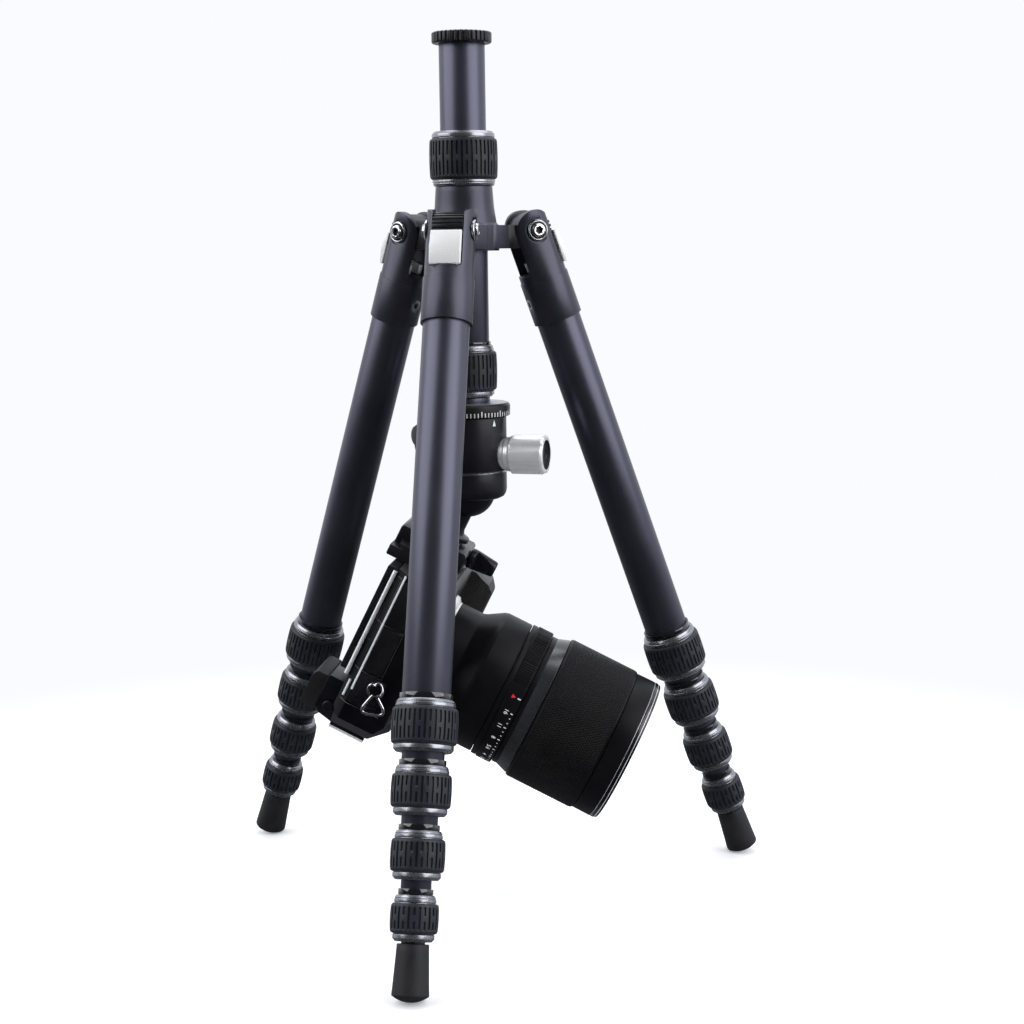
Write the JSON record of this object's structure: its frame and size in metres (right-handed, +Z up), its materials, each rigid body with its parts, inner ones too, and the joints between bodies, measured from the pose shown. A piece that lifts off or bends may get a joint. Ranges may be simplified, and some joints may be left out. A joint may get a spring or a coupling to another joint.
{
  "type": "camera on travel tripod",
  "caption": "Compact travel tripod with its column reversed: a ball head hangs between the legs and holds a digital camera with a large prime lens upside down.",
  "frame": {"origin": "on the floor, under the axis of the centre column", "axes": "+Z up along the column; -Y along leg 1; legs 2 and 3 at 30 and 150 degrees; the lens points mostly along +X and down"},
  "size_m": [0.2914, 0.2546, 0.4445],
  "materials": {
    "anodised_aluminium": "satin dark anodised",
    "lock_rubber": "ribbed rubber sleeve on grey metal rings",
    "bright_steel": "polished plated steel",
    "black_aluminium": "fine black anodised",
    "silver_aluminium": "bead blasted silver anodised",
    "seat_plastic": "low friction moulded ring",
    "black_plastic": "fine moulded grain",
    "camera_shell": "black fine crinkle paint",
    "circuit_board": "boards and sealed electronics",
    "soft_rubber": "soft matt rubber",
    "screen_glass": "glossy display window in a black frame",
    "lens_black": "fine black anodised, white engraved scale",
    "optical_glass": "coated optical glass"
  },
  "bodies": {
    "spider": {"spider": "anodised_aluminium", "hinge_bolts": "bright_steel"},
    "leg_1_upper": {"leg_1_upper": "anodised_aluminium"},
    "leg_1_stop_tab": {"leg_1_stop_tab": "bright_steel"},
    "leg_1_section_2": {"leg_1_section_2": "anodised_aluminium"},
    "leg_1_lock_1": {"leg_1_lock_1": "lock_rubber"},
    "leg_1_section_3": {"leg_1_section_3": "anodised_aluminium"},
    "leg_1_lock_2": {"leg_1_lock_2": "lock_rubber"},
    "leg_1_section_4": {"leg_1_section_4": "anodised_aluminium"},
    "leg_1_lock_3": {"leg_1_lock_3": "lock_rubber"},
    "leg_1_section_5": {"leg_1_section_5": "anodised_aluminium"},
    "leg_1_lock_4": {"leg_1_lock_4": "lock_rubber"},
    "leg_2_upper": {"leg_2_upper": "anodised_aluminium"},
    "leg_2_stop_tab": {"leg_2_stop_tab": "bright_steel"},
    "leg_2_section_2": {"leg_2_section_2": "anodised_aluminium"},
    "leg_2_lock_1": {"leg_2_lock_1": "lock_rubber"},
    "leg_2_section_3": {"leg_2_section_3": "anodised_aluminium"},
    "leg_2_lock_2": {"leg_2_lock_2": "lock_rubber"},
    "leg_2_section_4": {"leg_2_section_4": "anodised_aluminium"},
    "leg_2_lock_3": {"leg_2_lock_3": "lock_rubber"},
    "leg_2_section_5": {"leg_2_section_5": "anodised_aluminium"},
    "leg_2_lock_4": {"leg_2_lock_4": "lock_rubber"},
    "leg_3_upper": {"leg_3_upper": "anodised_aluminium"},
    "leg_3_stop_tab": {"leg_3_stop_tab": "bright_steel"},
    "leg_3_section_2": {"leg_3_section_2": "anodised_aluminium"},
    "leg_3_lock_1": {"leg_3_lock_1": "lock_rubber"},
    "leg_3_section_3": {"leg_3_section_3": "anodised_aluminium"},
    "leg_3_lock_2": {"leg_3_lock_2": "lock_rubber"},
    "leg_3_section_4": {"leg_3_section_4": "anodised_aluminium"},
    "leg_3_lock_3": {"leg_3_lock_3": "lock_rubber"},
    "leg_3_section_5": {"leg_3_section_5": "anodised_aluminium"},
    "leg_3_lock_4": {"leg_3_lock_4": "lock_rubber"},
    "column_lock": {"column_lock": "lock_rubber"},
    "column": {"column_tube": "anodised_aluminium", "column_end_disc": "anodised_aluminium"},
    "inner_column_lock": {"inner_column_lock": "lock_rubber"},
    "inner_column": {"inner_column": "anodised_aluminium", "pan_base": "black_aluminium"},
    "head": {"head_body": "black_aluminium"},
    "main_knob": {"main_knob": "silver_aluminium"},
    "pan_knob": {"pan_knob": "black_plastic"},
    "ball_seat": {"ball_seat": "seat_plastic"},
    "ball_stem": {"ball_stem": "black_aluminium"},
    "clamp": {"clamp_body": "black_aluminium"},
    "clamp_jaw": {"clamp_jaw": "black_aluminium"},
    "clamp_knob": {"clamp_knob": "black_plastic"},
    "camera": {"release_plate": "anodised_aluminium", "camera_body": "camera_shell", "camera_internals": "circuit_board", "eyecup": "soft_rubber", "lens_barrel": "lens_black", "lens_glass": "optical_glass"},
    "rear_screen": {"rear_screen": "screen_glass"},
    "port_door": {"port_door": "soft_rubber"},
    "shutter_button": {"shutter_button": "bright_steel"},
    "mode_dial": {"mode_dial": "black_aluminium"},
    "aperture_ring": {"aperture_ring": "lens_black"},
    "focus_ring": {"focus_ring": "lens_black"},
    "strap_ring_left": {"strap_ring_left": "bright_steel"},
    "strap_ring_right": {"strap_ring_right": "bright_steel"}
  },
  "joints": [
    {"name": "column_slide", "type": "slide", "parent": "spider", "child": "column", "axis": [0, 0, 1], "range_m": [-0.043, 0.04]},
    {"name": "inner_column_slide", "type": "slide", "parent": "column", "child": "inner_column", "axis": [0, 0, -1], "range_m": [0, 0.115]},
    {"name": "pan", "type": "hinge", "parent": "inner_column", "child": "head", "pos_m": [0, 0, 0.245], "axis": [0, 0, 1], "continuous": true},
    {"name": "ball_swing", "type": "hinge", "parent": "head", "child": "ball_seat", "pos_m": [0, 0, 0.2132], "axis": [0, 0, -1], "range_deg": [-10, 70]},
    {"name": "ball_tilt", "type": "hinge", "parent": "ball_seat", "child": "ball_stem", "pos_m": [0, 0, 0.2132], "axis": [-0.0637, 0.998, 0], "range_deg": [-10, 8]},
    {"name": "ball_spin", "type": "hinge", "parent": "ball_stem", "child": "clamp", "pos_m": [0, 0, 0.2132], "axis": [0.45, 0.0287, 0.8926], "range_deg": [-40, 10]},
    {"name": "main_knob_turn", "type": "hinge", "parent": "head", "child": "main_knob", "pos_m": [0.02482, -0.00298, 0.2325], "axis": [0.9929, -0.1193, 0], "range_deg": [0, 270]},
    {"name": "pan_knob_turn", "type": "hinge", "parent": "head", "child": "pan_knob", "pos_m": [-0.01807, -0.01579, 0.2435], "axis": [-0.753, -0.658, 0], "range_deg": [0, 270]},
    {"name": "jaw_slide", "type": "slide", "parent": "clamp", "child": "clamp_jaw", "axis": [0.8908, 0.0568, -0.4509], "range_m": [0, 0.0024]},
    {"name": "clamp_knob_turn", "type": "hinge", "parent": "clamp_jaw", "child": "clamp_knob", "pos_m": [0.00538, 0.00034, 0.17508], "axis": [0.8908, 0.0568, -0.4509], "range_deg": [0, 1080]},
    {"name": "plate_slide", "type": "slide", "parent": "clamp", "child": "camera", "axis": [0.0637, -0.998, 0], "range_m": [-0.008, 0.008]},
    {"name": "screen_tilt", "type": "hinge", "parent": "camera", "child": "rear_screen", "pos_m": [-0.03383, -0.00917, 0.18025], "axis": [-0.0637, 0.998, 0], "range_deg": [0, 90]},
    {"name": "port_door_swing", "type": "hinge", "parent": "camera", "child": "port_door", "pos_m": [-0.03903, -0.05394, 0.1405], "axis": [-0.45, -0.0287, -0.8926], "range_deg": [0, 95]},
    {"name": "shutter_press", "type": "slide", "parent": "camera", "child": "shutter_button", "axis": [0.45, 0.0287, 0.8926], "range_m": [0, 0.001], "stiffness_N_per_m": 500},
    {"name": "mode_dial_turn", "type": "hinge", "parent": "camera", "child": "mode_dial", "pos_m": [-0.05747, 0.03642, 0.0976], "axis": [-0.45, -0.0287, -0.8926], "continuous": true},
    {"name": "aperture_turn", "type": "hinge", "parent": "camera", "child": "aperture_ring", "pos_m": [0.02081, 0.00133, 0.10587], "axis": [0.8908, 0.0568, -0.4509], "range_deg": [0, 75]},
    {"name": "focus_turn", "type": "hinge", "parent": "camera", "child": "focus_ring", "pos_m": [0.05198, 0.00332, 0.09009], "axis": [0.8908, 0.0568, -0.4509], "continuous": true},
    {"name": "strap_ring_left_swing", "type": "hinge", "parent": "camera", "child": "strap_ring_left", "pos_m": [-0.03826, -0.05675, 0.11959], "axis": [0.0637, -0.998, 0], "range_deg": [-60, 60]},
    {"name": "strap_ring_right_swing", "type": "hinge", "parent": "camera", "child": "strap_ring_right", "pos_m": [-0.04669, 0.07538, 0.11959], "axis": [0.0637, -0.998, 0], "range_deg": [-60, 60]},
    {"name": "column_lock_twist", "type": "hinge", "parent": "spider", "child": "column_lock", "pos_m": [0, 0, 0.382], "axis": [0, 0, 1], "range_deg": [0, 90]},
    {"name": "inner_column_lock_twist", "type": "hinge", "parent": "column", "child": "inner_column_lock", "pos_m": [0, 0, 0.275], "axis": [0, 0, 1], "range_deg": [0, 90]},
    {"name": "leg_1_fold", "type": "hinge", "parent": "spider", "child": "leg_1_upper", "pos_m": [0, -0.0353, 0.346], "axis": [-1, 0, 0], "range_deg": [-3, 160]},
    {"name": "leg_2_fold", "type": "hinge", "parent": "spider", "child": "leg_2_upper", "pos_m": [0.03057, 0.01765, 0.346], "axis": [0.5, -0.866, 0], "range_deg": [-3, 160]},
    {"name": "leg_3_fold", "type": "hinge", "parent": "spider", "child": "leg_3_upper", "pos_m": [-0.03057, 0.01765, 0.346], "axis": [0.5, 0.866, 0], "range_deg": [-3, 160]},
    {"name": "leg_1_tab_pull", "type": "slide", "parent": "leg_1_upper", "child": "leg_1_stop_tab", "axis": [0, -0.9397, 0.342], "range_m": [0, 0.005], "stiffness_N_per_m": 300},
    {"name": "leg_1_section_2_slide", "type": "slide", "parent": "leg_1_upper", "child": "leg_1_section_2", "axis": [0, -0.342, -0.9397], "range_m": [0, 0.154]},
    {"name": "leg_1_section_3_slide", "type": "slide", "parent": "leg_1_section_2", "child": "leg_1_section_3", "axis": [0, -0.342, -0.9397], "range_m": [0, 0.18]},
    {"name": "leg_1_section_4_slide", "type": "slide", "parent": "leg_1_section_3", "child": "leg_1_section_4", "axis": [0, -0.342, -0.9397], "range_m": [0, 0.206]},
    {"name": "leg_1_section_5_slide", "type": "slide", "parent": "leg_1_section_4", "child": "leg_1_section_5", "axis": [0, -0.342, -0.9397], "range_m": [0, 0.23]},
    {"name": "leg_1_lock_1_twist", "type": "hinge", "parent": "leg_1_upper", "child": "leg_1_lock_1", "pos_m": [0, -0.11721, 0.11775], "axis": [0, -0.342, -0.9397], "range_deg": [0, 90]},
    {"name": "leg_1_lock_2_twist", "type": "hinge", "parent": "leg_1_section_2", "child": "leg_1_lock_2", "pos_m": [0, -0.12712, 0.0905], "axis": [0, -0.342, -0.9397], "range_deg": [0, 90]},
    {"name": "leg_1_lock_3_twist", "type": "hinge", "parent": "leg_1_section_3", "child": "leg_1_lock_3", "pos_m": [0, -0.13704, 0.06325], "axis": [0, -0.342, -0.9397], "range_deg": [0, 90]},
    {"name": "leg_1_lock_4_twist", "type": "hinge", "parent": "leg_1_section_4", "child": "leg_1_lock_4", "pos_m": [0, -0.14645, 0.03741], "axis": [0, -0.342, -0.9397], "range_deg": [0, 90]},
    {"name": "leg_2_tab_pull", "type": "slide", "parent": "leg_2_upper", "child": "leg_2_stop_tab", "axis": [0.8138, 0.4698, 0.342], "range_m": [0, 0.005], "stiffness_N_per_m": 300},
    {"name": "leg_2_section_2_slide", "type": "slide", "parent": "leg_2_upper", "child": "leg_2_section_2", "axis": [0.2962, 0.171, -0.9397], "range_m": [0, 0.154]},
    {"name": "leg_2_lock_1_twist", "type": "hinge", "parent": "leg_2_upper", "child": "leg_2_lock_1", "pos_m": [0.1015, 0.0586, 0.11775], "axis": [0.2962, 0.171, -0.9397], "range_deg": [0, 90]},
    {"name": "leg_2_section_3_slide", "type": "slide", "parent": "leg_2_section_2", "child": "leg_2_section_3", "axis": [0.2962, 0.171, -0.9397], "range_m": [0, 0.18]},
    {"name": "leg_2_lock_2_twist", "type": "hinge", "parent": "leg_2_section_2", "child": "leg_2_lock_2", "pos_m": [0.11009, 0.06356, 0.0905], "axis": [0.2962, 0.171, -0.9397], "range_deg": [0, 90]},
    {"name": "leg_2_section_4_slide", "type": "slide", "parent": "leg_2_section_3", "child": "leg_2_section_4", "axis": [0.2962, 0.171, -0.9397], "range_m": [0, 0.206]},
    {"name": "leg_2_lock_3_twist", "type": "hinge", "parent": "leg_2_section_3", "child": "leg_2_lock_3", "pos_m": [0.11868, 0.06852, 0.06325], "axis": [0.2962, 0.171, -0.9397], "range_deg": [0, 90]},
    {"name": "leg_2_section_5_slide", "type": "slide", "parent": "leg_2_section_4", "child": "leg_2_section_5", "axis": [0.2962, 0.171, -0.9397], "range_m": [0, 0.23]},
    {"name": "leg_2_lock_4_twist", "type": "hinge", "parent": "leg_2_section_4", "child": "leg_2_lock_4", "pos_m": [0.12683, 0.07322, 0.03741], "axis": [0.2962, 0.171, -0.9397], "range_deg": [0, 90]},
    {"name": "leg_3_tab_pull", "type": "slide", "parent": "leg_3_upper", "child": "leg_3_stop_tab", "axis": [-0.8138, 0.4698, 0.342], "range_m": [0, 0.005], "stiffness_N_per_m": 300},
    {"name": "leg_3_section_2_slide", "type": "slide", "parent": "leg_3_upper", "child": "leg_3_section_2", "axis": [-0.2962, 0.171, -0.9397], "range_m": [0, 0.154]},
    {"name": "leg_3_lock_1_twist", "type": "hinge", "parent": "leg_3_upper", "child": "leg_3_lock_1", "pos_m": [-0.1015, 0.0586, 0.11775], "axis": [-0.2962, 0.171, -0.9397], "range_deg": [0, 90]},
    {"name": "leg_3_section_3_slide", "type": "slide", "parent": "leg_3_section_2", "child": "leg_3_section_3", "axis": [-0.2962, 0.171, -0.9397], "range_m": [0, 0.18]},
    {"name": "leg_3_lock_2_twist", "type": "hinge", "parent": "leg_3_section_2", "child": "leg_3_lock_2", "pos_m": [-0.11009, 0.06356, 0.0905], "axis": [-0.2962, 0.171, -0.9397], "range_deg": [0, 90]},
    {"name": "leg_3_section_4_slide", "type": "slide", "parent": "leg_3_section_3", "child": "leg_3_section_4", "axis": [-0.2962, 0.171, -0.9397], "range_m": [0, 0.206]},
    {"name": "leg_3_lock_3_twist", "type": "hinge", "parent": "leg_3_section_3", "child": "leg_3_lock_3", "pos_m": [-0.11868, 0.06852, 0.06325], "axis": [-0.2962, 0.171, -0.9397], "range_deg": [0, 90]},
    {"name": "leg_3_section_5_slide", "type": "slide", "parent": "leg_3_section_4", "child": "leg_3_section_5", "axis": [-0.2962, 0.171, -0.9397], "range_m": [0, 0.23]},
    {"name": "leg_3_lock_4_twist", "type": "hinge", "parent": "leg_3_section_4", "child": "leg_3_lock_4", "pos_m": [-0.12683, 0.07322, 0.03741], "axis": [-0.2962, 0.171, -0.9397], "range_deg": [0, 90]}
  ],
  "couplings": [
    {"joint": "clamp_knob_turn", "follows": "jaw_slide", "rad_per_m": 7854}
  ]
}
